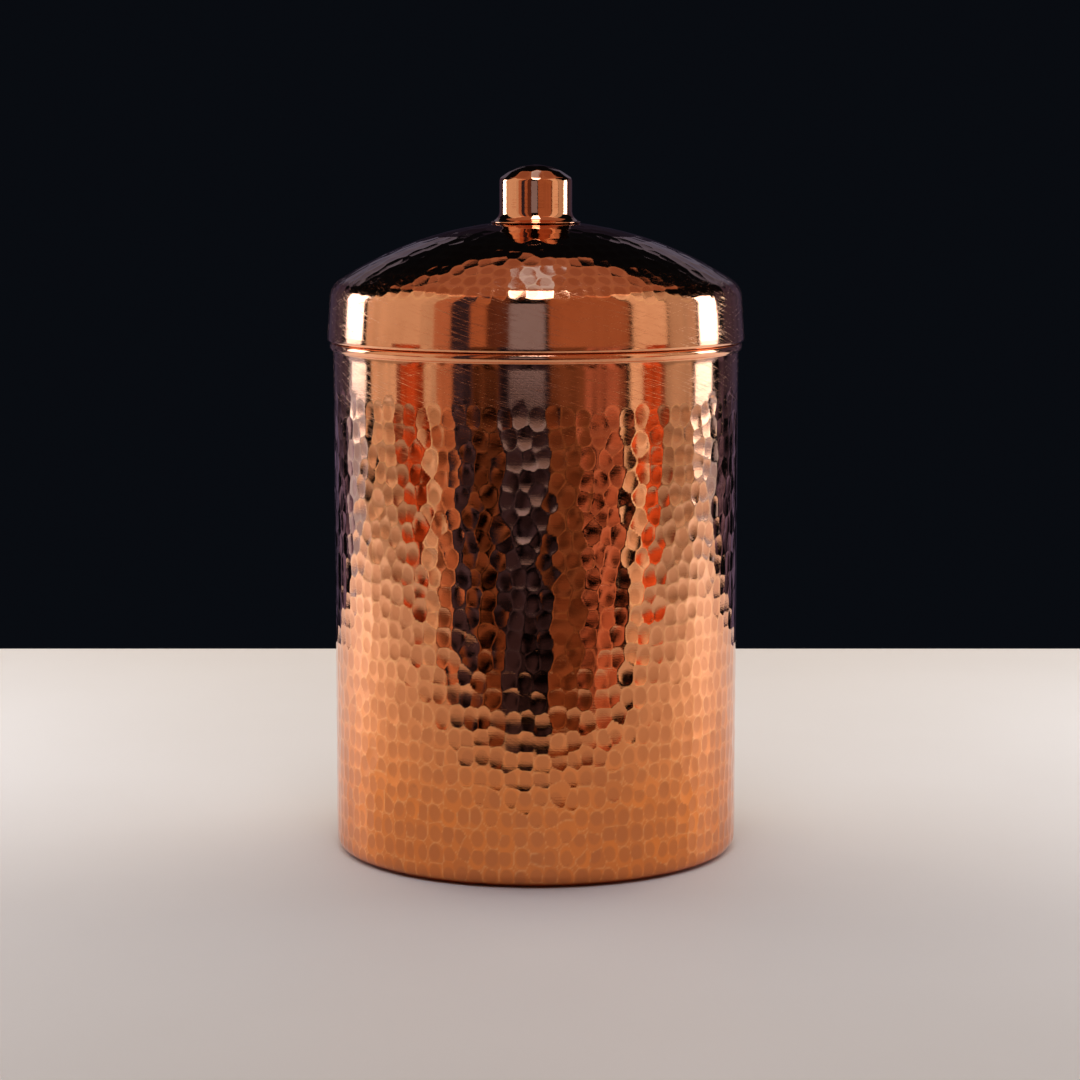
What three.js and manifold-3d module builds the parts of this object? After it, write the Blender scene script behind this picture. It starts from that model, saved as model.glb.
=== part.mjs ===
// A lidded copper canister: a spun and hammered body with a raised stop bead, and a slip-on domed lid
// that is lifted off by a small hollow knob. Millimetres, +Z up, standing on the plane z = 0.
import * as THREE from 'three';
import { mergeVertices } from 'three/addons/utils/BufferGeometryUtils.js';
import Module from 'manifold-3d';

const wasm = await Module();
wasm.setup();

// Driving dimensions
const sheet = 1.2; // thickness of the copper sheet of the body and the lid
const fitGap = 0.3; // clearance between pieces that lie against each other

const bodyRadius = 82.5; // outside of the wall
const cornerRadius = 5; // outside of the rounded bottom corner
const beadRadius = 2.1; // the swaged bead's half-round profile
const beadProud = 1.5; // how far the bead stands out of the wall
const beadHeight = 206.9; // height of the bead's middle
const neckRadius = 82.1; // outside of the neck that the lid slides over
const lipHeight = 223; // height of the middle of the rolled mouth edge

const domeRadius = 145; // the lid's spherical top
const domeApex = 257.5;
const shoulderRadius = 9; // the round between the dome and the skirt
const skirtTopRadius = 83.8; // the skirt widens a little downwards
const skirtFootRadius = 84.9;
const hemHeight = 4.2; // height of the folded edge inside the skirt

const knobRadius = 14.8;
const knobSheet = 0.9;
const knobApex = 280;
const knobDomeRadius = 22;
const knobCornerRadius = 2.5;
const flareTop = 261.45; // where the knob's cylinder starts to flare
const flareRadius = 4.6;
const footRadius = 18.3;

const screwRadius = 2.5;
const screwClearance = screwRadius + fitGap;
const screwTip = 267.5;
const headRadius = 4.8;
const headHeight = 3;
const washerRadius = 7;
const washerHeight = 1;
const springWasherRadius = 4.6;
const springWasherHeight = 1.3;

const roundSteps = 60; // facets around the body and the lid
const knobSteps = 40;
const screwSteps = 24;

// Materials
const copper = { color: 0xd9834f, roughness: 0.18, metalness: 1 };
const brass = { color: 0xb98a45, roughness: 0.35, metalness: 1 };
const steel = { color: 0xb9bcc0, roughness: 0.3, metalness: 1 };

const degree = Math.PI / 180;

// Points along an arc about a centre in the half-plane of the profile.
// Angles are in degrees from the outward direction.
function arc(centreRadius, centreHeight, arcRadius, fromAngle, toAngle, steps) {
  const points = [];
  for (let i = 0; i <= steps; i += 1) {
    const angle = (fromAngle + ((toAngle - fromAngle) * i) / steps) * degree;
    const radius = centreRadius + arcRadius * Math.cos(angle);
    points.push([radius, centreHeight + arcRadius * Math.sin(angle)]);
  }
  return points;
}

// A solid of revolution about Z. The profile is a list of [radius, height] points that runs anticlockwise.
// It starts and ends on the axis, or closes on itself.
function turned(profile, steps) {
  const points = profile.map(([radius, height]) => new THREE.Vector2(Math.max(radius, 0), height));
  const geometry = new THREE.LatheGeometry(points, steps);
  geometry.rotateX(Math.PI / 2);
  return geometry;
}

function node(name, geometry, look) {
  const mesh = new THREE.Mesh(geometry, new THREE.MeshStandardMaterial(look));
  mesh.name = name;
  return mesh;
}

function toSolid(geometry) {
  const bare = geometry.clone();
  bare.deleteAttribute('normal');
  bare.deleteAttribute('uv');
  const merged = mergeVertices(bare, 1e-4);
  const vertProperties = new Float32Array(merged.attributes.position.array);
  const triVerts = new Uint32Array(merged.index.array);
  return new wasm.Manifold(new wasm.Mesh({ numProp: 3, vertProperties, triVerts }));
}

function toGeometry(solid) {
  const mesh = solid.getMesh();
  const geometry = new THREE.BufferGeometry();
  geometry.setAttribute('position', new THREE.BufferAttribute(mesh.vertProperties, 3));
  geometry.setIndex(new THREE.BufferAttribute(mesh.triVerts, 1));
  geometry.computeVertexNormals();
  return geometry;
}

// A sphere cap that turns through a round shoulder into a wall of the given radius.
// The two arcs share a tangent at angle `join`, and the shoulder's middle is at (ring, level).
function domeLayout(sphereRadius, apex, wallRadius, shoulder) {
  const sphereHeight = apex - sphereRadius;
  const ring = wallRadius - shoulder;
  const join = Math.acos(ring / (sphereRadius - shoulder)) / degree;
  const level = sphereHeight + (sphereRadius - shoulder) * Math.sin(join * degree);
  return { sphereHeight, ring, join, level };
}

// Height of a sphere's surface at a distance from the axis.
function capHeight(sphereHeight, sphereRadius, radius) {
  return sphereHeight + Math.sqrt(sphereRadius ** 2 - radius ** 2);
}

// The body is one shell: flat base, rounded corner, straight wall, stop bead, neck and rolled mouth edge.
const beadRing = bodyRadius + beadProud - beadRadius;

function bodyProfile() {
  const cornerRing = bodyRadius - cornerRadius;
  const wallAngle = Math.acos((bodyRadius - beadRing) / beadRadius) / degree;
  const neckAngle = Math.acos((neckRadius - beadRing) / beadRadius) / degree;
  const grooveRadius = beadRadius - sheet;
  const lipRing = neckRadius - sheet;
  return [
    [0, 0],
    ...arc(cornerRing, cornerRadius, cornerRadius, -90, 0, 5),
    ...arc(beadRing, beadHeight, beadRadius, -wallAngle, neckAngle, 8),
    ...arc(lipRing, lipHeight, sheet, 0, 270, 9),
    [lipRing, beadHeight + grooveRadius],
    ...arc(beadRing, beadHeight, grooveRadius, 90, -90, 4),
    [bodyRadius - sheet, beadHeight - grooveRadius],
    ...arc(cornerRing, cornerRadius, cornerRadius - sheet, 0, -90, 4),
    [0, sheet],
  ];
}

// The lid is one shell with a hole for the knob's screw. Its edge is folded inwards into a double hem
// with a round foot, which slides on the neck and comes to rest on the bead.
const lid = domeLayout(domeRadius, domeApex, skirtTopRadius, shoulderRadius);
const hemRing = skirtFootRadius - sheet;
const hemLift = Math.sqrt((beadRadius + sheet + fitGap) ** 2 - (hemRing - beadRing) ** 2);
const hemFoot = beadHeight + hemLift;

function lidProfile() {
  const innerRadius = domeRadius - sheet;
  const holeAngle = Math.acos(screwClearance / domeRadius) / degree;
  const innerHoleAngle = Math.acos(screwClearance / innerRadius) / degree;
  const hemInside = hemRing - sheet;
  const hemTop = hemFoot + hemHeight;
  return [
    ...arc(hemRing, hemFoot, sheet, -180, 0, 6),
    ...arc(lid.ring, lid.level, shoulderRadius, 0, lid.join, 5),
    ...arc(0, lid.sphereHeight, domeRadius, lid.join, holeAngle, 8).slice(1),
    ...arc(0, lid.sphereHeight, innerRadius, innerHoleAngle, lid.join, 8),
    ...arc(lid.ring, lid.level, shoulderRadius - sheet, lid.join, 0, 4).slice(1),
    [hemRing - fitGap, hemTop + sheet],
    [hemInside, hemTop],
    [hemInside, hemFoot],
  ];
}

// The knob is a hollow spun cap: low dome, cylinder, and a foot that flares out just above the lid.
const knob = domeLayout(knobDomeRadius, knobApex, knobRadius, knobCornerRadius);

function knobProfile() {
  const flareRing = knobRadius + flareRadius;
  const footAngle = 360 - Math.acos((footRadius - flareRing) / flareRadius) / degree;
  const innerFootAngle = 236; // where the flare's underside meets the slope of the dome
  const footBottom = capHeight(lid.sphereHeight, domeRadius, footRadius) + fitGap;
  return [
    [footRadius, footBottom],
    ...arc(flareRing, flareTop, flareRadius, footAngle, 180, 5),
    ...arc(knob.ring, knob.level, knobCornerRadius, 0, knob.join, 4),
    ...arc(0, knob.sphereHeight, knobDomeRadius, knob.join, 90, 5).slice(1),
    ...arc(0, knob.sphereHeight, knobDomeRadius - knobSheet, 90, knob.join, 4),
    ...arc(knob.ring, knob.level, knobCornerRadius - knobSheet, knob.join, 0, 3).slice(1),
    ...arc(flareRing, flareTop, flareRadius + knobSheet, 180, innerFootAngle, 4),
    [footRadius, footBottom],
  ];
}

// A plug inside the knob, with a blind hole for the screw.
function coreProfile() {
  const radius = knobRadius - knobSheet - fitGap;
  const bottom = domeApex + fitGap;
  const top = knob.level - fitGap;
  const chamfer = 1;
  const holeEnd = screwTip + 1;
  return [
    [0, holeEnd + screwClearance * 0.6],
    [screwClearance, holeEnd],
    [screwClearance, bottom],
    [radius, bottom],
    [radius, top - chamfer],
    [radius - chamfer, top],
    [0, top],
  ];
}

function ringProfile(innerRadius, outerRadius, bottom, height) {
  return [
    [innerRadius, bottom],
    [outerRadius, bottom],
    [outerRadius, bottom + height],
    [innerRadius, bottom + height],
    [innerRadius, bottom],
  ];
}

// The stack under the dome, from the top down: flat washer, spring washer, screw head.
const washerTop = capHeight(lid.sphereHeight, domeRadius - sheet, washerRadius) - fitGap;
const washerBottom = washerTop - washerHeight;
const springWasherBottom = washerBottom - fitGap - springWasherHeight;
const headTop = springWasherBottom - fitGap;
const headBottom = headTop - headHeight;

function springWasher() {
  const halfCut = 0.13; // half of the split, in radians
  const outline = new THREE.Shape();
  outline.absarc(0, 0, springWasherRadius, halfCut, Math.PI * 2 - halfCut, false);
  outline.absarc(0, 0, screwClearance, Math.PI * 2 - halfCut, halfCut, true);
  const options = { depth: springWasherHeight, bevelEnabled: false, curveSegments: screwSteps };
  return new THREE.ExtrudeGeometry(outline, options).translate(0, 0, springWasherBottom);
}

function screw() {
  const round = 1.4;
  const threadChamfer = 0.8;
  const slotWidth = 1.2;
  const slotDepth = 1.5;
  const blank = turned([
    [0, headBottom],
    ...arc(headRadius - round, headBottom + round, round, -90, 0, 4),
    [headRadius, headTop],
    [screwRadius, headTop],
    [screwRadius, screwTip - threadChamfer],
    [screwRadius - threadChamfer, screwTip],
    [0, screwTip],
  ], screwSteps);
  const cutter = new THREE.BoxGeometry(headRadius * 3, slotWidth, slotDepth * 2);
  cutter.translate(0, 0, headBottom);
  return toGeometry(toSolid(blank).subtract(toSolid(cutter)));
}

const washerProfile = ringProfile(screwClearance, washerRadius, washerBottom, washerHeight);

const lidGroup = new THREE.Group();
lidGroup.add(node('lid_shell', turned(lidProfile(), roundSteps), copper));
lidGroup.add(node('knob_shell', turned(knobProfile(), knobSteps), copper));
lidGroup.add(node('knob_core', turned(coreProfile(), knobSteps), brass));
lidGroup.add(node('knob_screw', screw(), steel));
lidGroup.add(node('flat_washer', turned(washerProfile, screwSteps), steel));
lidGroup.add(node('spring_washer', springWasher(), steel));

const canister = new THREE.Group();
canister.add(node('canister_body', turned(bodyProfile(), roundSteps), copper));
canister.add(lidGroup);

export default canister;
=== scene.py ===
"""Looks for the lidded copper canister: hammered shells, polished copper, pale floor and studio light."""

import math

import bpy
import numpy as np
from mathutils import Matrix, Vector


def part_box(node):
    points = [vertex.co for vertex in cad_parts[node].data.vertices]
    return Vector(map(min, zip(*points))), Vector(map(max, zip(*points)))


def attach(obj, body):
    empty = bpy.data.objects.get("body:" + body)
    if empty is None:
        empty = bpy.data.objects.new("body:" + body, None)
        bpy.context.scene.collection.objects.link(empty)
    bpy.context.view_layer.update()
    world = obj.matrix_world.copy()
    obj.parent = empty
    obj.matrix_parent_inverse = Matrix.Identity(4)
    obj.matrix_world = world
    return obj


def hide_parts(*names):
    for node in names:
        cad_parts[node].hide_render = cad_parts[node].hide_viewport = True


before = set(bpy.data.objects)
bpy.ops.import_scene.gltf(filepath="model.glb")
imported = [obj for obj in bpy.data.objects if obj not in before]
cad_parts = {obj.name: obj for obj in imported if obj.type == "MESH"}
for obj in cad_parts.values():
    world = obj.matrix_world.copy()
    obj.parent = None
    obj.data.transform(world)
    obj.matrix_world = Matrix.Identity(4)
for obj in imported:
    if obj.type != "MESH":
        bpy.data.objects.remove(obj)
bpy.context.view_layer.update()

MM = 0.001
random = np.random.default_rng(7)

# ---- sizes, from the frame ----

body_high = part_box("canister_body")[1]
lid_low, lid_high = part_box("lid_shell")
knob_low, knob_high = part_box("knob_shell")

SHEET = 1.2 * MM
CORNER = 5 * MM
BEAD = 2.1 * MM
BEAD_PROUD = 1.5 * MM
BEAD_RING = body_high.x - BEAD
WALL = body_high.x - BEAD_PROUD
NECK = WALL - 0.4 * MM
LIP_HEIGHT = body_high.z - SHEET
BEAD_HEIGHT = body_high.z - 17.3 * MM
BEAD_FILLET = 0.5 * MM

SKIRT_FOOT = lid_high.x
SKIRT_TOP = SKIRT_FOOT - 1.1 * MM
HEM_RING = SKIRT_FOOT - SHEET
HEM_FOOT = lid_low.z + SHEET
HEM_RISE = 4.2 * MM
DOME = 145 * MM
SHOULDER = 9 * MM
SCREW_HOLE = 2.8 * MM
DOME_MIDDLE = lid_high.z - math.sqrt(DOME**2 - SCREW_HOLE**2)

KNOB = 14.8 * MM
KNOB_SHEET = 0.9 * MM
KNOB_DOME = 22 * MM
KNOB_CORNER = 2.5 * MM
KNOB_FOOT = knob_high.x
KNOB_APEX = knob_high.z
FLARE = 4.6 * MM
FLARE_TOP = KNOB_APEX - 18.55 * MM
KNOB_INNER_FOOT = 236  # the angle where the flare's underside meets the slope of the dome

# ---- hammering ----

WALL_MARKS = 88  # hammer marks in one row around the wall
WALL_ROW = 7.8 * MM  # height of one row
WALL_HAMMER_TOP = 187.5 * MM  # the wall is left smooth between here and the bead
WALL_DEPTH = 0.135 * MM
DOME_MARK = 5.8 * MM
DOME_ROW = 6.8 * MM
DOME_DEPTH = 0.11 * MM
KNOB_MARK = 5 * MM
KNOB_ROW = 5 * MM
KNOB_DEPTH = 0.16 * MM
REACH = 0.6  # half of a mark's size, as a share of the spacing between marks
BOWL = 1.15  # 1 is a parabolic mark, and more is flatter in the middle
LEAN = 0.018  # how unevenly the marks are tilted, as a slope
RIDGE_SOFTNESS = 0.013 * MM
ROW_DRIFT = 0.2  # how far a row shifts against the one below it, in marks
HALF_SHIFT = 0.3  # how often a row also shifts by half a mark
SLIP = 0.06  # how unevenly the marks are spaced along their row, in marks
LIFT = 0.04  # how unevenly the marks are placed across their row, in rows
DEPTH_SPREAD = 0.15  # how uneven the marks' depths are, as a share of the depth
DEPTH_LIMITS = (0.65, 1.35)
NEAR_ROWS = 1.2  # marks further away than this change nothing
EXPONENTS = (-40, 60)  # keeps the sum of exponentials within what a number holds


def line(start, end, steps):
    """Points from start up to, but not including, end."""
    share = np.arange(steps)[:, None] / steps
    return np.array(start) + (np.array(end) - np.array(start)) * share


def arc(centre, radius, from_angle, to_angle, steps):
    """Points along an arc, in degrees from the outward direction, without its last point."""
    angle = np.radians(from_angle + (to_angle - from_angle) * np.arange(steps) / steps)
    return np.array(centre) + radius * np.stack([np.cos(angle), np.sin(angle)], 1)


def angle_to(centre, point):
    return math.degrees(math.atan2(point[1] - centre[1], point[0] - centre[0]))


def dome_layout(sphere, middle, wall, shoulder):
    """Centre of the shoulder arc between a sphere and a wall, and the angle where they meet."""
    ring = wall - shoulder
    join = math.degrees(math.acos(ring / (sphere - shoulder)))
    level = middle + (sphere - shoulder) * math.sin(math.radians(join))
    return (ring, level), join


class Profile:
    """A closed outline in the half-plane of radius and height, with its length and normals."""

    def __init__(self, *stretches, closed=False):
        points = np.concatenate(stretches)
        after = np.roll(points, -1, 0)
        before = np.roll(points, 1, 0)
        if not closed:
            after[-1] = points[-1]
            before[0] = points[0]
        along = after - before
        along /= np.linalg.norm(along, axis=1)[:, None]
        steps = np.linalg.norm(np.diff(points, axis=0), axis=1)
        self.closed = closed
        self.radius = points[:, 0]
        self.height = points[:, 1]
        self.normal = np.stack([along[:, 1], -along[:, 0]], 1)
        self.length = np.concatenate([[0], np.cumsum(steps)])


def mark_rows(first, row_height, rows, count_at, aligned):
    """Rows of hammer marks: the middle of each row, and each mark's place, depth, lean and tone."""
    made = []
    phase = 0.0
    for row in range(rows):
        middle = first + (row + 0.5) * row_height
        count = max(1, count_at(middle))
        phase += random.normal(0, ROW_DRIFT) if aligned else random.uniform(0, 1)
        if random.random() < HALF_SHIFT:
            phase += 0.5
        made.append(
            {
                "middle": middle,
                "count": count,
                "phase": phase,
                "slip": random.normal(0, SLIP, count),
                "lift": random.normal(0, LIFT, count) * row_height,
                "depth": np.clip(random.normal(1, DEPTH_SPREAD, count), *DEPTH_LIMITS),
                "lean": random.normal(0, LEAN, (2, count)),
                "tone": random.uniform(0, 1, count),
            }
        )
    return made


class Hammering:
    """The pattern that rows of hammer marks press into a turned surface."""

    def __init__(self, rows, row_height, mark_width, depth, softness):
        self.rows = rows
        self.row_height = row_height
        self.mark_width = mark_width
        self.depth = depth
        self.softness = softness

    def press(self, length, angle):
        """Depth, ridge, tone and dish at each profile length (down the array) and angle (across it).
        Ridge is 1 on the edge between two marks and 0 inside a mark. Tone is one value for each mark.
        Dish is 0 in the middle of a mark and 1 at its edge. Angles are in turns."""
        total = np.ones((len(length), len(angle)))
        best = np.ones_like(total)
        tone = np.full_like(total, 0.5)
        dish = np.ones_like(total)
        for row in self.rows:
            near = np.abs(length - row["middle"]) < self.row_height * NEAR_ROWS
            if not near.any():
                continue
            count = row["count"]
            place = angle * count - row["phase"]
            base = np.floor(place)
            for step in (-1, 0, 1, 2):
                index = (base + step).astype(int) % count
                across = (place - (base + step) - row["slip"][index])[None]
                up = (length[near][:, None] - row["middle"] - row["lift"][index][None]) / self.row_height
                bowl = (np.abs(across / REACH) ** 2 + np.abs(up / REACH) ** 2) ** BOWL
                height = -self.depth * row["depth"][index][None] * (1 - bowl)
                height = height + across * self.mark_width * row["lean"][0][index][None]
                height = height + up * self.row_height * row["lean"][1][index][None]
                share = np.exp(np.clip(-height / self.softness, *EXPONENTS))
                total[near] += share
                closer = share > best[near]
                best[near] = np.where(closer, share, best[near])
                tone[near] = np.where(closer, row["tone"][index][None], tone[near])
                dish[near] = np.where(closer, bowl, dish[near])
        ridge = np.clip(2 * (1 - best / total), 0, 1)
        return self.softness * np.log(total), ridge, tone, np.clip(dish, 0, 1)


def hammer(profile, columns, fine, hammering, fade):
    """Presses the marks into the rings that have one of the fine numbers of columns.
    Returns, for each ring, None or its depths, slopes, ridges, tones and dishes."""
    pressed = [None] * len(columns)
    step = 0.02 * MM
    for count in fine:
        rings = np.flatnonzero(columns == count)
        if not len(rings):
            continue
        length = profile.length[rings]
        angle = np.arange(count) / count
        weight = fade(length)[:, None]
        depth, ridge, tone, dish = hammering.press(length, angle)
        higher = hammering.press(length + step, angle)[0] * fade(length + step)[:, None]
        lower = hammering.press(length - step, angle)[0] * fade(length - step)[:, None]
        turn = 1e-5
        further = hammering.press(length, angle + turn)[0]
        nearer = hammering.press(length, angle - turn)[0]
        around = np.maximum(2 * math.pi * profile.radius[rings], 1e-6)[:, None]
        rise = (higher - lower) / (2 * step)
        swing = (further - nearer) * weight / (2 * turn * around)
        depth = depth * weight
        ridge = ridge * weight
        tone = 0.5 + (tone - 0.5) * weight
        dish = 1 - (1 - dish) * weight
        for i, at in enumerate(rings):
            pressed[at] = (depth[i], rise[i], swing[i], ridge[i], tone[i], dish[i])
    return pressed


def bridge(faces, low, high):
    """Faces between two rings, whose numbers of vertices are the same or a multiple of each other."""
    fine, coarse, upward = (low, high, True) if len(low) >= len(high) else (high, low, False)
    parts = len(fine) // len(coarse)
    for k, a in enumerate(coarse):
        b = coarse[(k + 1) % len(coarse)]
        f = [fine[(k * parts + i) % len(fine)] for i in range(parts + 1)]
        if parts == 1:
            loops = [[f[0], f[1], b, a]]
        else:
            turn = parts // 2 + 1
            loops = [[f[i], f[i + 1], a] for i in range(turn)]
            loops += [[f[turn], b, a]]
            loops += [[f[i], f[i + 1], b] for i in range(turn, parts)]
        for loop in loops:
            loop = [v for i, v in enumerate(loop) if v not in loop[:i]]
            if len(loop) > 2:
                faces.append(loop if upward else loop[::-1])


def turned(name, profile, columns, pressed, lining):
    """A closed solid of revolution. columns gives each profile point its number of vertices, and
    pressed its hammering. The profile points numbered in lining take the second material."""
    vertices, normals, ridges, tones, dishes, rings = [], [], [], [], [], []
    for i, count in enumerate(columns):
        out, up = profile.normal[i]
        turn = np.arange(count) * 2 * math.pi / count + math.pi / 2
        across = np.stack([np.cos(turn), np.sin(turn)], 1)
        marks = pressed[i]
        smooth = (0, 0, 0, np.zeros(count), np.full(count, 0.5), np.ones(count))
        depth, rise, swing, ridge, tone, dish = marks or smooth
        radius = np.full(count, profile.radius[i]) - depth * out
        height = np.full(count, profile.height[i]) - depth * up
        normal = np.zeros((count, 3))
        if marks:
            outward = out - rise * up
            normal[:, 0] = outward * across[:, 0] - swing * across[:, 1]
            normal[:, 1] = outward * across[:, 1] + swing * across[:, 0]
            normal[:, 2] = up + rise * out
        if profile.radius[i] < 1e-7:
            radius, height, normal, across = radius[:1], height[:1], normal[:1], across[:1]
            ridge, tone, dish = ridge[:1], tone[:1], dish[:1]
        first = sum(map(len, vertices))
        vertices.append(np.column_stack([radius[:, None] * across, height]))
        normals.append(normal)
        ridges.append(ridge)
        tones.append(tone)
        dishes.append(dish)
        rings.append([first] * count if len(height) == 1 else list(range(first, first + count)))
    pairs = list(zip(range(len(rings) - 1), range(1, len(rings))))
    if profile.closed:
        pairs.append((len(rings) - 1, 0))
    faces, second = [], []
    for low, high in pairs:
        before = len(faces)
        bridge(faces, rings[low], rings[high])
        second += [1 if low in lining else 0] * (len(faces) - before)
    mesh = bpy.data.meshes.new(name)
    mesh.from_pydata(np.concatenate(vertices), [], faces)
    mesh.polygons.foreach_set("material_index", second)
    mesh.polygons.foreach_set("use_smooth", [True] * len(faces))
    mesh.set_sharp_from_angle(angle=math.radians(35))
    for attribute, values in (("ridge", ridges), ("tone", tones), ("dish", dishes)):
        layer = mesh.attributes.new(attribute, "FLOAT", "POINT")
        layer.data.foreach_set("value", np.concatenate(values).astype(np.float32))
    mesh.normals_split_custom_set_from_vertices(np.concatenate(normals))
    mesh.update()
    made = bpy.data.objects.new(name, mesh)
    bpy.context.scene.collection.objects.link(made)
    return made


# ---- the three copper shells ----


def mesh_rows(row_height, rows):
    """Profile steps through the hammered rows, closer together at the ridges between rows."""
    shares = np.array([0, 0.05, 0.12, 0.22, 0.34, 0.45, 0.55, 0.66, 0.78, 0.88, 0.95])
    return (np.arange(rows)[:, None] + shares[None]).ravel() * row_height


def outline(stretches, closed=False):
    """The profile that the stretches make, and the number of vertices around each of its points."""
    profile = Profile(*[points for points, _ in stretches], closed=closed)
    columns = np.concatenate([np.full(len(points), count) for points, count in stretches])
    return profile, columns


def fitting_marks(profile, mark_width):
    """How many marks of a width fit around the profile, as a function of the length along it."""
    return lambda length: round(2 * math.pi * np.interp(length, profile.length, profile.radius) / mark_width)


def canister_body():
    """Flat base, rounded corner, hammered wall, stop bead, neck and rolled mouth edge."""
    fine, coarse = 9 * WALL_MARKS, 3 * WALL_MARKS
    corner = (WALL - CORNER, CORNER)
    low_fillet_ring = WALL + BEAD_FILLET
    drop = math.sqrt((BEAD + BEAD_FILLET) ** 2 - (low_fillet_ring - BEAD_RING) ** 2)
    low_fillet = (low_fillet_ring, BEAD_HEIGHT - drop)
    high_fillet_ring = NECK + BEAD_FILLET
    rise = math.sqrt((BEAD + BEAD_FILLET) ** 2 - (high_fillet_ring - BEAD_RING) ** 2)
    high_fillet = (high_fillet_ring, BEAD_HEIGHT + rise)
    bead = (BEAD_RING, BEAD_HEIGHT)
    low_angle = angle_to(low_fillet, bead)
    high_angle = angle_to(high_fillet, bead) % 360
    groove = BEAD - SHEET
    lip = (NECK - SHEET, LIP_HEIGHT)
    margin = 1.5 * MM

    rows = int((WALL_HAMMER_TOP - CORNER) / WALL_ROW)
    first = WALL_HAMMER_TOP - rows * WALL_ROW
    heights = first + mesh_rows(WALL_ROW, rows)
    hammered = np.stack([np.full(len(heights), WALL), heights], 1)
    stretches = [
        (line((0, 0), (corner[0] - margin, 0), 6), coarse),
        (line((corner[0] - margin, 0), (corner[0], 0), 2), fine),
        (arc(corner, CORNER, -90, 0, 12), fine),
        (line((WALL, CORNER), (WALL, first), max(1, round((first - CORNER) / (0.7 * MM)))), fine),
        (hammered, fine),
        (line((WALL, WALL_HAMMER_TOP), (WALL, WALL_HAMMER_TOP + margin), 4), fine),
        (line((WALL, WALL_HAMMER_TOP + margin), (WALL, low_fillet[1]), 6), coarse),
        (arc(low_fillet, BEAD_FILLET, 180, low_angle, 4), coarse),
        (arc(bead, BEAD, low_angle - 180, high_angle - 180, 16), coarse),
        (arc(high_fillet, BEAD_FILLET, high_angle, 180, 4), coarse),
        (line((NECK, high_fillet[1]), (NECK, LIP_HEIGHT), 5), coarse),
        (arc(lip, SHEET, 0, 270, 16), coarse),
        (line((lip[0], LIP_HEIGHT - SHEET), (lip[0], BEAD_HEIGHT + groove), 4), coarse),
        (line((lip[0], BEAD_HEIGHT + groove), (BEAD_RING, BEAD_HEIGHT + groove), 1), coarse),
        (arc(bead, groove, 90, -90, 8), coarse),
        (line((BEAD_RING, BEAD_HEIGHT - groove), (WALL - SHEET, BEAD_HEIGHT - groove), 1), coarse),
        (line((WALL - SHEET, BEAD_HEIGHT - groove), (WALL - SHEET, CORNER), 10), coarse),
        (arc(corner, CORNER - SHEET, 0, -90, 6), coarse),
        (line((WALL - CORNER, SHEET), (0, SHEET), 6), coarse),
        (np.array([[0, SHEET]]), coarse),
    ]
    profile, columns = outline(stretches)
    start = profile.length[columns == fine][0]
    top = start + margin + math.pi / 2 * CORNER + WALL_HAMMER_TOP - CORNER
    all_rows = int((top - start) / WALL_ROW)
    marks = mark_rows(top - all_rows * WALL_ROW, WALL_ROW, all_rows, lambda length: WALL_MARKS, True)
    width = 2 * math.pi * WALL / WALL_MARKS
    hammering = Hammering(marks, WALL_ROW, width, WALL_DEPTH, RIDGE_SOFTNESS)

    def fade(length):
        return np.clip((length - start - 2 * MM) / (5 * MM), 0, 1)

    pressed = hammer(profile, columns, (fine,), hammering, fade)
    inner = int(np.argmax(profile.height))
    return turned("hammered_body", profile, columns, pressed, range(inner, len(columns)))


def lid():
    """Skirt with a folded hem, rounded shoulder and hammered dome with a hole for the knob's screw."""
    fine, medium, coarse = 720, 360, 180
    shoulder, join = dome_layout(DOME, DOME_MIDDLE, SKIRT_TOP, SHOULDER)
    inner = DOME - SHEET
    middle = (0, DOME_MIDDLE)
    hem = (HEM_RING, HEM_FOOT)
    hem_inside = HEM_RING - SHEET
    hem_top = HEM_FOOT + HEM_RISE
    hole = math.degrees(math.acos(SCREW_HOLE / DOME))
    inner_hole = math.degrees(math.acos(SCREW_HOLE / inner))
    inner_foot = (HEM_RING - 0.3 * MM, hem_top + SHEET)
    change = math.degrees(math.acos(42 * MM / DOME))
    under_knob = math.degrees(math.acos(14 * MM / DOME))
    step = 0.7 * MM

    def dome_stretch(start, end):
        return arc(middle, DOME, start, end, round(math.radians(end - start) * DOME / step))

    stretches = [
        (arc(hem, SHEET, -180, 0, 12), coarse),
        (line((SKIRT_FOOT, HEM_FOOT), (SKIRT_TOP, shoulder[1]), 8), coarse),
        (arc(shoulder, SHOULDER, 0, join, 18), fine),
        (dome_stretch(join, change), fine),
        (dome_stretch(change, under_knob), medium),
        (arc(middle, DOME, under_knob, hole, 6), coarse),
        (arc(middle, inner, inner_hole, join, 24), coarse),
        (arc(shoulder, SHOULDER - SHEET, join, 0, 8), coarse),
        (line((SKIRT_TOP - SHEET, shoulder[1]), inner_foot, 4), coarse),
        (line(inner_foot, (hem_inside, hem_top), 1), coarse),
        (line((hem_inside, hem_top), (hem_inside, HEM_FOOT), 3), coarse),
    ]
    profile, columns = outline(stretches, closed=True)
    start = profile.length[columns == fine][0] + math.radians(20) * SHOULDER
    end = profile.length[columns == medium][-1]
    rows = int((end - start) / DOME_ROW)
    marks = mark_rows(start, DOME_ROW, rows, fitting_marks(profile, DOME_MARK), False)
    hammering = Hammering(marks, DOME_ROW, DOME_MARK, DOME_DEPTH, RIDGE_SOFTNESS)

    def fade(length):
        return np.clip((end - length) / MM, 0, 1)

    pressed = hammer(profile, columns, (fine, medium), hammering, fade)
    turn = sum(len(points) for points, _ in stretches[:6])
    return turned("lid_dome", profile, columns, pressed, range(turn, len(columns)))


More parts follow.
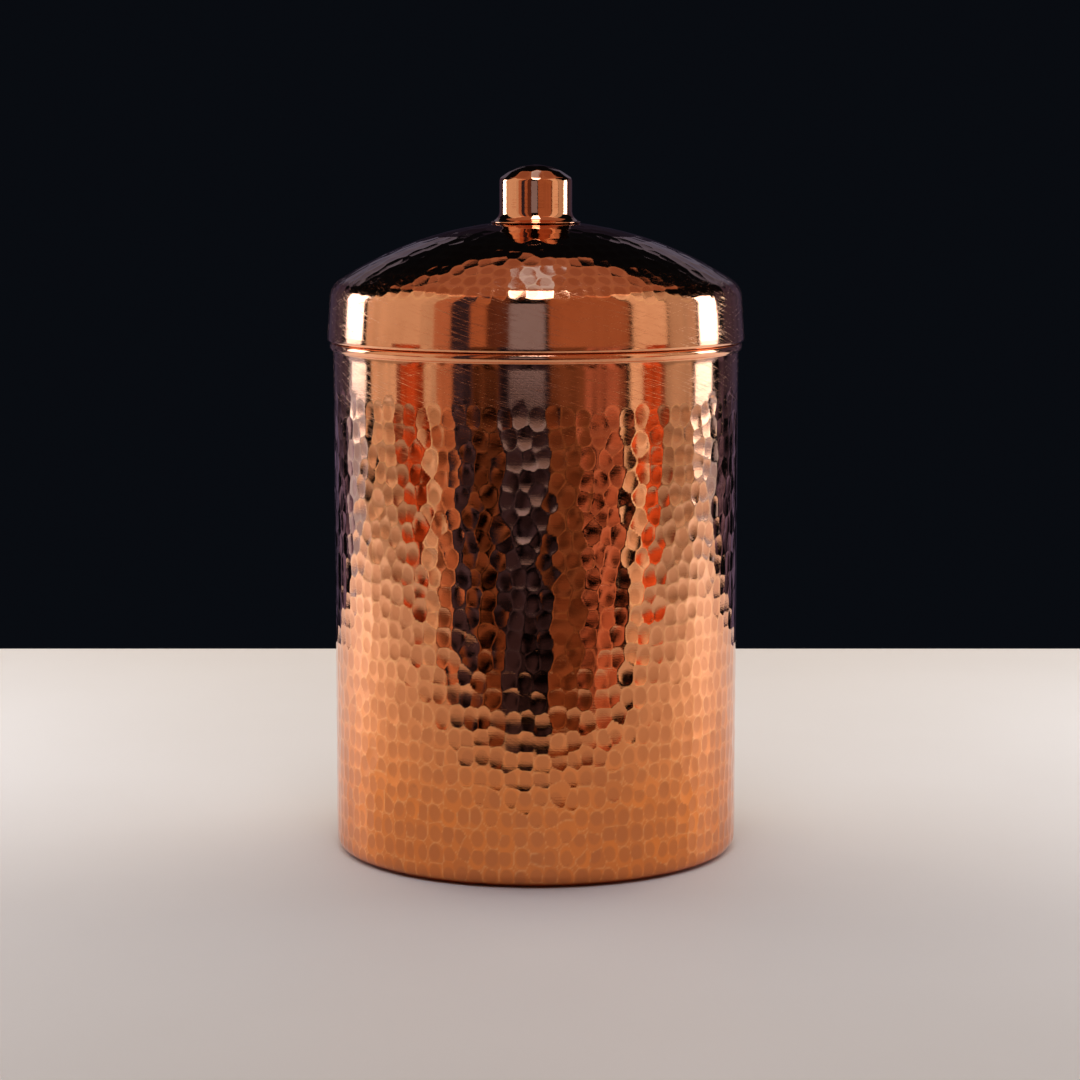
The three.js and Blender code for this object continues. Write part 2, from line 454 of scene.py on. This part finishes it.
def knob():
    """Hollow cap: flared foot, cylinder, small rounded corner and hammered low dome."""
    fine, coarse = 240, 120
    shoulder, join = dome_layout(KNOB_DOME, KNOB_APEX - KNOB_DOME, KNOB, KNOB_CORNER)
    middle = (0, KNOB_APEX - KNOB_DOME)
    flare = (KNOB + FLARE, FLARE_TOP)
    foot_angle = 360 - math.degrees(math.acos((KNOB_FOOT - flare[0]) / FLARE))
    inner = KNOB_DOME - KNOB_SHEET
    inner_wall = KNOB - KNOB_SHEET
    foot_edge = arc(flare, FLARE, foot_angle, 180, 1)[0]
    stretches = [
        (line((KNOB_FOOT, knob_low.z), foot_edge, 2), coarse),
        (arc(flare, FLARE, foot_angle, 180, 16), coarse),
        (line((KNOB, FLARE_TOP), (KNOB, shoulder[1]), 10), coarse),
        (arc(shoulder, KNOB_CORNER, 0, join, 12), fine),
        (arc(middle, KNOB_DOME, join, 88, 30), fine),
        (arc(middle, KNOB_DOME, 88, 90, 1), fine),
        (np.array([[0, KNOB_APEX], [0, KNOB_APEX - KNOB_SHEET]]), coarse),
        (arc(middle, inner, 90, join, 8)[1:], coarse),
        (arc(shoulder, KNOB_CORNER - KNOB_SHEET, join, 0, 4), coarse),
        (line((inner_wall, shoulder[1]), (inner_wall, FLARE_TOP), 4), coarse),
        (arc(flare, FLARE + KNOB_SHEET, 180, KNOB_INNER_FOOT, 6), coarse),
    ]
    profile, columns = outline(stretches, closed=True)
    top = columns == fine
    start = profile.length[top][0] + math.radians(0.7 * join) * KNOB_CORNER
    end = profile.length[top][-1] + math.radians(2) * KNOB_DOME
    rows = max(1, round((end - start) / KNOB_ROW))
    row_height = (end - start) / rows
    marks = mark_rows(start, row_height, rows, fitting_marks(profile, KNOB_MARK), False)
    hammering = Hammering(marks, row_height, KNOB_MARK, KNOB_DEPTH, RIDGE_SOFTNESS)

    def fade(length):
        return np.clip((end - length) / MM, 0, 1)

    pressed = hammer(profile, columns, (fine,), hammering, fade)
    turn = sum(len(points) for points, _ in stretches[:6]) + 1
    return turned("lid_knob", profile, columns, pressed, range(turn, len(columns)))


# ---- materials ----


def new_material(name, colour, roughness):
    material = bpy.data.materials.new(name)
    material.use_nodes = True
    shader = material.node_tree.nodes["Principled BSDF"]
    shader.inputs["Metallic"].default_value = 1
    shader.inputs["Base Color"].default_value = (*colour, 1)
    shader.inputs["Roughness"].default_value = roughness
    return material, shader


def add(material, kind, **values):
    made = material.node_tree.nodes.new(kind)
    for key, value in values.items():
        if key in made.inputs:
            made.inputs[key].default_value = value
        else:
            setattr(made, key, value)
    return made


def link(material, source, target):
    material.node_tree.links.new(source, target)


def noise(material, scale, detail, stretch=(1, 1, 1), roughness=0.5):
    """Noise in object space, stretched along the axes."""
    place = add(material, "ShaderNodeTexCoord")
    mapping = add(material, "ShaderNodeMapping")
    mapping.inputs["Scale"].default_value = stretch
    texture = add(material, "ShaderNodeTexNoise", Scale=scale, Detail=detail, Roughness=roughness)
    link(material, place.outputs["Object"], mapping.inputs["Vector"])
    link(material, mapping.outputs["Vector"], texture.inputs["Vector"])
    return texture.outputs["Fac"]


def spread(material, source, from_low, from_high, to_low, to_high):
    """Maps a range of values to another."""
    made = add(material, "ShaderNodeMapRange")
    names = ("From Min", "From Max", "To Min", "To Max")
    for name, value in zip(names, (from_low, from_high, to_low, to_high)):
        made.inputs[name].default_value = value
    link(material, source, made.inputs["Value"])
    return made.outputs["Result"]


COPPER = (0.93, 0.44, 0.23)
# deep copper for the marks' uneven tone and the clouds, and painted shade in the marks' bowls
COPPER_DEEP_TONE_AND_SHADE = (0.58, 0.20, 0.08)
# painted reflection of the warm floor, mixed into the lower wall
PAINTED_FLOOR_REFLECTION = (0.95, 0.27, 0.045)
# painted highlight along the ridges between marks
PAINTED_RIDGE_HIGHLIGHT = (1.0, 0.52, 0.22)
COPPER_STAIN = (0.45, 0.16, 0.08)
LINING = (0.90, 0.54, 0.41)
LINING_DARK = (0.84, 0.47, 0.35)
LINING_LIGHT = (0.94, 0.60, 0.47)
PAINTED_REFLECTION_TOP = 0.12  # the painted reflection of the warm floor, an amber tint, starts here
PAINTED_REFLECTION_FULL = 0.03  # and is full here
POLISH_LINES = 0.008 * MM


def layer(material, below, factor, colour):
    """Mixes a colour over another by a factor."""
    mix = add(material, "ShaderNodeMix", data_type="RGBA")
    colours = [socket for socket in mix.inputs if socket.type == "RGBA"]
    if isinstance(below, tuple):
        colours[0].default_value = (*below, 1)
    else:
        link(material, below, colours[0])
    colours[1].default_value = (*colour, 1)
    link(material, factor, mix.inputs["Factor"])
    return [socket for socket in mix.outputs if socket.type == "RGBA"][0]


def tint(material, shader, factor, dark, light):
    """Varies the colour of the shader between a dark and a light one."""
    link(material, layer(material, dark, factor, light), shader.inputs["Base Color"])


def bump(material, shader, heights):
    """Several height patterns, each with its height in metres, on one shader."""
    last = None
    for source, height in heights:
        made = add(material, "ShaderNodeBump", Distance=height)
        link(material, source, made.inputs["Height"])
        if last:
            link(material, last, made.inputs["Normal"])
        last = made.outputs["Normal"]
    link(material, last, shader.inputs["Normal"])


def height_above_base(material):
    place = add(material, "ShaderNodeTexCoord")
    apart = add(material, "ShaderNodeSeparateXYZ")
    link(material, place.outputs["Object"], apart.inputs["Vector"])
    return apart.outputs["Z"]


def combine(material, operation, first, second):
    made = add(material, "ShaderNodeMath", operation=operation)
    link(material, first, made.inputs[0])
    link(material, second, made.inputs[1])
    return made.outputs["Value"]


def attribute(material, name):
    return add(material, "ShaderNodeAttribute", attribute_name=name).outputs["Fac"]


def scratches(material, lean, scale, length):
    """Fine polishing lines that climb round the piece like a screw thread. Lean is their turn in
    radians for each metre of height."""
    place = add(material, "ShaderNodeTexCoord")
    angle = add(material, "ShaderNodeMath", operation="MULTIPLY")
    angle.inputs[1].default_value = lean
    link(material, height_above_base(material), angle.inputs[0])
    twist = add(material, "ShaderNodeVectorRotate", rotation_type="Z_AXIS")
    link(material, place.outputs["Object"], twist.inputs["Vector"])
    link(material, angle.outputs["Value"], twist.inputs["Angle"])
    mapping = add(material, "ShaderNodeMapping")
    mapping.inputs["Scale"].default_value = (1, 1, length)
    link(material, twist.outputs["Vector"], mapping.inputs["Vector"])
    texture = add(material, "ShaderNodeTexNoise", Scale=scale, Detail=3, Roughness=0.6)
    link(material, mapping.outputs["Vector"], texture.inputs["Vector"])
    return texture.outputs["Fac"]


def copper_colour(material, level):
    """Painted reflection of the warm floor as an amber foot, marks of uneven tone with painted shade in
    their bowls, clouds and stains, and painted highlights on the ridges.
    """
    cloud = noise(material, 45, 5, roughness=0.65)
    spots = noise(material, 260, 3)
    layers = (
        # painted reflection of the warm floor: amber, stronger towards the foot, all the way round
        (level, (PAINTED_REFLECTION_TOP, PAINTED_REFLECTION_FULL), (0, 0.85), PAINTED_FLOOR_REFLECTION),
        (attribute(material, "tone"), (0, 1), (0, 0.45), COPPER_DEEP_TONE_AND_SHADE),
        # painted shade: darker in the middle of each mark's bowl
        (attribute(material, "dish"), (0.3, 0.62), (0.5, 0), COPPER_DEEP_TONE_AND_SHADE),
        (cloud, (0.5, 0.8), (0, 0.4), COPPER_DEEP_TONE_AND_SHADE),
        (spots, (0.68, 0.8), (0, 0.35), COPPER_STAIN),
        # painted highlight on the ridges between marks
        (attribute(material, "ridge"), (0.15, 1), (0, 0.5), PAINTED_RIDGE_HIGHLIGHT),
    )
    colour = COPPER
    for source, values, amounts, over in layers:
        colour = layer(material, colour, spread(material, source, *values, *amounts), over)
    return colour


def copper_roughness(material, level):
    """A thin haze, with scratches where the copper is smooth, between the marks of wall and dome."""
    haze = spread(material, noise(material, 18, 4), 0.35, 0.7, 0.022, 0.045)
    rising = spread(material, scratches(material, 40, 700, 0.4), 0.5, 0.66, 0, 0.2)
    falling = spread(material, scratches(material, -55, 800, 0.4), 0.54, 0.68, 0, 0.15)
    above = spread(material, level, WALL_HAMMER_TOP - 40 * MM, WALL_HAMMER_TOP, 0.12, 1)
    below = spread(material, level, lid_high.z - 24 * MM, lid_high.z - 16 * MM, 1, 0.05)
    smooth_zone = combine(material, "MULTIPLY", above, below)
    lines = combine(material, "ADD", rising, falling)
    return combine(material, "ADD", haze, combine(material, "MULTIPLY", lines, smooth_zone))


def polished_copper(name):
    """The bright outside of the shells."""
    material, shader = new_material(name, COPPER, 0.06)
    level = height_above_base(material)
    link(material, copper_colour(material, level), shader.inputs["Base Color"])
    link(material, copper_roughness(material, level), shader.inputs["Roughness"])
    turning = noise(material, 60, 3, (1, 1, 60))
    polish = scratches(material, 22, 1500, 0.03)
    bump(material, shader, [(turning, POLISH_LINES), (polish, POLISH_LINES)])
    return material


def satin_copper(name):
    """The unpolished inside of a shell."""
    material, shader = new_material(name, LINING, 0.35)
    turning = noise(material, 80, 3, (1, 1, 40))
    cloud = noise(material, 30, 5, roughness=0.6)
    link(material, spread(material, cloud, 0.3, 0.7, 0.28, 0.42), shader.inputs["Roughness"])
    tint(material, shader, spread(material, cloud, 0.3, 0.7, 0, 1), LINING_DARK, LINING_LIGHT)
    bump(material, shader, [(turning, 0.02 * MM)])
    return material


def plain_metal(name, dark, light, roughness):
    """Turned brass or steel of the hidden fixing."""
    material, shader = new_material(name, light, roughness)
    lines = noise(material, 500, 3, (1, 1, 8))
    cloud = noise(material, 120, 4)
    worn = spread(material, cloud, 0.3, 0.7, roughness - 0.07, roughness + 0.07)
    link(material, worn, shader.inputs["Roughness"])
    tint(material, shader, spread(material, cloud, 0.3, 0.7, 0, 1), dark, light)
    bump(material, shader, [(lines, 0.01 * MM)])
    return material


FLOOR = (0.62, 0.57, 0.50)
FLOOR_DARK = (0.60, 0.55, 0.48)
FLOOR_LIGHT = (0.64, 0.59, 0.52)


def pale_floor_material():
    """A plain matt floor with a faint cloud in it."""
    material, shader = new_material("pale_floor", FLOOR, 0.6)
    shader.inputs["Metallic"].default_value = 0
    cloud = noise(material, 3, 4)
    tint(material, shader, spread(material, cloud, 0.3, 0.7, 0, 1), FLOOR_DARK, FLOOR_LIGHT)
    return material


def put(obj, *materials):
    """Gives an object its materials, in place of those it has."""
    obj.data.materials.clear()
    for material in materials:
        obj.data.materials.append(material)


# ---- build ----

outside = polished_copper("polished_copper")
lining = satin_copper("satin_copper")
brass = plain_metal("turned_brass", (0.60, 0.42, 0.20), (0.74, 0.55, 0.28), 0.3)
steel = plain_metal("stainless_steel", (0.55, 0.56, 0.57), (0.68, 0.69, 0.70), 0.28)

for make, node, body, slot in (
    (canister_body, "canister_body", "canister", "body_copper"),
    (lid, "lid_shell", "lid", "lid_copper"),
    (knob, "knob_shell", "lid", "knob_copper"),
):
    piece = make()
    put(piece, outside, lining)
    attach(piece, body)
    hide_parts(node)

put(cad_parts["knob_core"], brass)
for node in ("knob_screw", "flat_washer", "spring_washer"):
    put(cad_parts[node], steel)

# ---- stage ----

FLOOR_FRONT = 0.37  # how far the floor reaches from the axis towards the camera
FLOOR_BACK = 0.49  # and away from it
FLOOR_SIDE = 1.6
SOFTBOX_DISTANCE = 1.5
CARD_DISTANCE = 2.0
PATCHES = 7  # how fine the patches of the cards are, per metre
PATCH_EDGE = (0.43, 0.57)  # the values of the noise between which a patch turns dark
CALM_HEIGHT = 0.04  # the patches fade out between the floor and here
CALM_SHARE = 0.2  # and this much of them is left above it
CAMERA_PLACE = (0.0017, -1.2175, 0.2832)
CAMERA_DIP = 7.33  # degrees below the horizon
CAMERA_LENS = 99.4
CAMERA_SENSOR = 36
NIGHT = (0.0028, 0.0036, 0.0055)


def floor():
    """The plain pale floor that the canister stands on."""
    mesh = bpy.data.meshes.new("floor")
    corners = [
        (-FLOOR_SIDE, -FLOOR_FRONT, 0),
        (FLOOR_SIDE, -FLOOR_FRONT, 0),
        (FLOOR_SIDE, FLOOR_BACK, 0),
        (-FLOOR_SIDE, FLOOR_BACK, 0),
    ]
    mesh.from_pydata(corners, [], [(0, 1, 2, 3)])
    made = bpy.data.objects.new("floor", mesh)
    bpy.context.scene.collection.objects.link(made)
    put(made, pale_floor_material())


def area_light(name, place, direction, width, height, radiance, colour):
    """A rectangular light that faces against the direction. The camera doesn't see it."""
    light = bpy.data.lights.new(name, "AREA")
    light.shape = "RECTANGLE"
    light.size = width
    light.size_y = height
    light.color = colour
    light.energy = radiance * width * height * math.pi
    made = bpy.data.objects.new(name, light)
    made.location = place
    made.rotation_euler = direction.to_track_quat("Z", "Y").to_euler()
    made.visible_camera = False
    bpy.context.scene.collection.objects.link(made)
    return made


def panel(name, azimuths, heights, distance, radiance, colour):
    """An upright light. Azimuth 0 is the camera's side of the canister, and positive is to its right."""
    turn = math.radians(sum(azimuths) / 2)
    width = 2 * distance * math.tan(math.radians(azimuths[1] - azimuths[0]) / 2)
    direction = Vector((math.sin(turn), -math.cos(turn), 0))
    place = direction * distance + Vector((0, 0, sum(heights) / 2))
    return area_light(name, place, direction, width, heights[1] - heights[0], radiance, colour)


def softbox(name, azimuths, heights, radiance):
    """A bright white panel that only shows in reflections."""
    light = panel(name, azimuths, heights, SOFTBOX_DISTANCE, radiance, WHITE)
    light.visible_diffuse = False


def overhead(name, elevations, distance, width, radiance, colour):
    """A light on the arc over the canister. Elevation 0 is the horizon in front, and 180 is behind."""
    turn = math.radians(sum(elevations) / 2)
    height = 2 * distance * math.tan(math.radians(elevations[1] - elevations[0]) / 2)
    direction = Vector((0, -math.cos(turn), math.sin(turn)))
    return area_light(name, direction * distance, direction, width, height, radiance, colour)


def glowing_patches(name, colour, dim, bright):
    """Light with cloudy patches, from dim to bright, which are calmer higher up."""
    material = bpy.data.materials.new(name)
    material.use_nodes = True
    material.cycles.emission_sampling = "NONE"
    nodes = material.node_tree.nodes
    nodes.remove(nodes["Principled BSDF"])
    glow = add(material, "ShaderNodeEmission")
    glow.inputs["Color"].default_value = (*colour, 1)
    middle = (dim + bright) / 2
    cloud = noise(material, PATCHES, 2, (1, 1, 0.7))
    patches = spread(material, cloud, *PATCH_EDGE, dim - middle, bright - middle)
    calm = spread(material, height_above_base(material), 0, CALM_HEIGHT, 1, CALM_SHARE)
    strength = add(material, "ShaderNodeMath", operation="MULTIPLY_ADD")
    link(material, patches, strength.inputs[0])
    link(material, calm, strength.inputs[1])
    strength.inputs[2].default_value = middle
    link(material, strength.outputs["Value"], glow.inputs["Strength"])
    link(material, glow.outputs["Emission"], nodes["Material Output"].inputs["Surface"])
    return material


def card(name, azimuths, heights, colour, dim, bright, distance=CARD_DISTANCE):
    """An upright glowing card, which the copper reflects.
    It isn't seen by the camera and doesn't light or shade the floor."""
    (left, right), (low, high) = azimuths, heights
    corners = []
    for azimuth, level in ((left, low), (right, low), (right, high), (left, high)):
        turn = math.radians(azimuth)
        corners.append((distance * math.sin(turn), -distance * math.cos(turn), level))
    mesh = bpy.data.meshes.new(name)
    mesh.from_pydata(corners, [], [(0, 1, 2, 3)])
    made = bpy.data.objects.new(name, mesh)
    bpy.context.scene.collection.objects.link(made)
    put(made, glowing_patches(name, colour, dim, bright))
    made.visible_camera = False
    made.visible_diffuse = False
    made.visible_shadow = False


def camera():
    data = bpy.data.cameras.new("camera")
    data.lens = CAMERA_LENS
    data.sensor_width = CAMERA_SENSOR
    made = bpy.data.objects.new("camera", data)
    made.location = CAMERA_PLACE
    made.rotation_euler = (math.radians(90 - CAMERA_DIP), 0, 0)
    bpy.context.scene.collection.objects.link(made)
    bpy.context.scene.camera = made


def surroundings(colour):
    """The dark room around the stage."""
    world = bpy.data.worlds.new("studio")
    world.use_nodes = True
    background = world.node_tree.nodes["Background"]
    background.inputs["Color"].default_value = (*colour, 1)
    background.inputs["Strength"].default_value = 1
    bpy.context.scene.world = world


WHITE = (0.82, 0.96, 1.2)
WARM = (1.0, 0.92, 0.84)
PEACH = (1.0, 0.82, 0.68)
AMBER = (1.0, 0.48, 0.31)
BROWN = (1.0, 0.43, 0.24)
RUST = (1.0, 0.40, 0.28)
RED = (1.0, 0.2, 0.07)
COOL = (0.55, 0.68, 1.0)
GREY = (0.6, 0.67, 1.0)
SHADE = (0.65, 0.55, 1.0)

SPLIT = 0.2  # the height where the panels change between the lid's reflections and the body's
HIGH = (SPLIT, 3.0)
LOW = (-1.3, SPLIT)
TALL = (-1.3, 3.0)
EDGE_SPLIT = 0.02  # below it, the cards of the edges are striped
EDGE = (EDGE_SPLIT, 0.9)
EDGE_LOW = (-1.3, EDGE_SPLIT)


def left_reflections():
    """What the left half of the copper reflects, from the back to the front."""
    softbox("left_softbox", (-125, -107), (0.228, 0.75), 6)
    softbox("left_softbox_low", (-124, -108), (0.08, 0.228), 2.6)
    panel("left_grey", (-128, -110), (-0.6, 0.1), SOFTBOX_DISTANCE, 0.85, COOL)
    card("left_peach_outer", (-104, -83), TALL, PEACH, 0.5, 0.9)
    card("left_peach_middle", (-83, -64), HIGH, PEACH, 0.6, 0.76)
    card("left_rust", (-83, -80), LOW, RUST, 0.02, 0.35)
    card("left_red", (-80, -64), LOW, RED, 0.04, 0.75)
    card("left_peach_inner", (-64, -56), TALL, PEACH, 0.4, 0.8)
    card("left_amber", (-56, -46), HIGH, AMBER, 0.36, 0.56)
    card("left_amber_low", (-56, -46), LOW, AMBER, 0.16, 0.6)
    card("left_shade", (-46, -35), TALL, SHADE, 0.0, 0.1)
    card("left_brown", (-35, -26), HIGH, BROWN, 0.26, 0.46)
    card("left_brown_low", (-35, -20), LOW, BROWN, 0.0, 0.2)


def front_reflections():
    """What the middle of the copper reflects."""
    card("front_shade_high", (-26, -14), HIGH, RUST, 0.05, 0.16)
    card("front_shade", (-20, 7), LOW, SHADE, 0.0, 0.06)
    panel("front_strip", (-14, 5), (0.06, 0.8), 1.8, 0.4, GREY)


def right_reflections():
    """What the right half of the copper reflects, from the front to the back."""
    card("right_brown", (7, 51), HIGH, BROWN, 0.27, 0.42)
    card("right_brown_low", (8, 27), LOW, BROWN, 0.09, 0.22)
    card("right_patches", (27, 50), LOW, RUST, 0.0, 0.56)
    card("right_peach_inner", (53, 61), TALL, PEACH, 0.6, 1.0)
    card("right_peach_middle", (61, 75), HIGH, PEACH, 0.7, 0.9)
    card("right_red", (61, 73), LOW, RED, 0.05, 0.85)
    card("right_rust", (73, 76), LOW, RUST, 0.02, 0.35)
    card("right_peach_outer", (76, 97), TALL, PEACH, 0.32, 0.7)
    softbox("right_softbox", (99, 116), (0.222, 0.75), 6)
    softbox("right_softbox_low", (99, 115), (0.06, 0.222), 3.2)
    panel("right_grey", (100, 119), (-0.6, 0.06), SOFTBOX_DISTANCE, 0.85, COOL)


def edge_reflections():
    """Dim, partly striped light behind the canister, which the two side edges reflect."""
    card("left_edge", (-160, -130), EDGE, SHADE, 0.0, 0.16)
    card("left_edge_far", (-160, -152), EDGE_LOW, SHADE, 0.0, 0.2)
    card("left_edge_middle", (-146, -139), EDGE_LOW, SHADE, 0.05, 0.3)
    card("left_edge_near", (-133, -127), EDGE_LOW, SHADE, 0.1, 0.36)
    card("right_edge", (124, 160), EDGE, SHADE, 0.0, 0.16)
    card("right_edge_near", (124, 130), EDGE_LOW, SHADE, 0.1, 0.36)
    card("right_edge_middle", (137, 144), EDGE_LOW, SHADE, 0.05, 0.3)
    card("right_edge_far", (150, 158), EDGE_LOW, SHADE, 0.0, 0.2)
    card("back", (160, 200), (-0.6, 1.2), SHADE, 0.0, 0.04, distance=2.4)
    panel("back_left_high", (-172, -150), (0.6, 1.2), 2.0, 0.16, GREY)
    panel("back_right_high", (150, 172), (0.6, 1.2), 2.0, 0.16, GREY)


def overhead_reflections():
    """What the dome and the tops of lid and knob reflect."""
    overhead("top_softbox", (53, 85), 1.2, 0.26, 6, WHITE)
    overhead("top_fill", (93, 114), 1.2, 0.12, 0.8, (0.25, 0.6, 1.0))
    overhead("ceiling", (60, 124), 2.0, 2.7, 0.34, AMBER)


def floor_lights():
    """Soft light on the floor from above, and two pools of it that the sides of the wall reflect."""
    lights = [overhead("floor_light", (120, 165), 1.8, 2.6, 1.8, WARM)]
    for side in (-1, 1):
        high = Vector((side * 0.9, 0.6, 1.3))
        low = Vector((side * 0.6, 0.18, 0.35))
        outwards = high - Vector((side * 0.5, 0.1, 0))
        lights.append(area_light("side_light", high, outwards, 0.8, 0.8, 2.8, WARM))
        lights.append(area_light("pool_light", low, Vector((0, 0, 1)), 0.5, 0.5, 3, WHITE))
    for light in lights:
        light.visible_glossy = False


floor()
camera()
surroundings(NIGHT)
left_reflections()
front_reflections()
right_reflections()
edge_reflections()
overhead_reflections()
floor_lights()

bpy.context.scene.view_settings.view_transform = "Standard"
